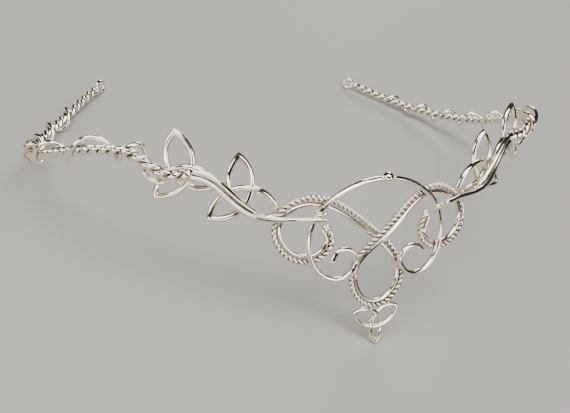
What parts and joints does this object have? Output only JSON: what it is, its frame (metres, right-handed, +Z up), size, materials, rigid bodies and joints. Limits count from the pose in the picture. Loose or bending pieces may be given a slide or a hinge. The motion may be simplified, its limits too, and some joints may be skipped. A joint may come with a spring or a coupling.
{
  "type": "circlet",
  "caption": "Open circlet of silver wire: scrolled centre with a drop, interlaced knots on each side, and a twisted band ending in small eyes.",
  "frame": {"origin": "middle of the outline on the table, under the circlet as it stands", "axes": "+Z up from the table, -Y out of the brow, +X the wearer's left (right in the front view)"},
  "size_m": [0.1913, 0.14, 0.0555],
  "materials": {
    "silver_wire": "polished silver, lightly darkened in the gaps",
    "silver_rope": "polished silver, two fine strands twisted, dark in the grooves"
  },
  "bodies": {
    "root": {"scroll_frame": "silver_wire", "ribbon_rope": "silver_rope", "ribbon_liner": "silver_wire", "pendant_knot": "silver_wire", "left_inner_knot": "silver_wire", "left_outer_knot": "silver_wire", "left_band_upper_strand": "silver_wire", "left_band_lower_strand": "silver_wire", "left_wrap": "silver_wire", "left_end_eye": "silver_wire", "right_inner_knot": "silver_wire", "right_outer_knot": "silver_wire", "right_band_upper_strand": "silver_wire", "right_band_lower_strand": "silver_wire", "right_wrap": "silver_wire", "right_end_eye": "silver_wire"}
  },
  "joints": []
}
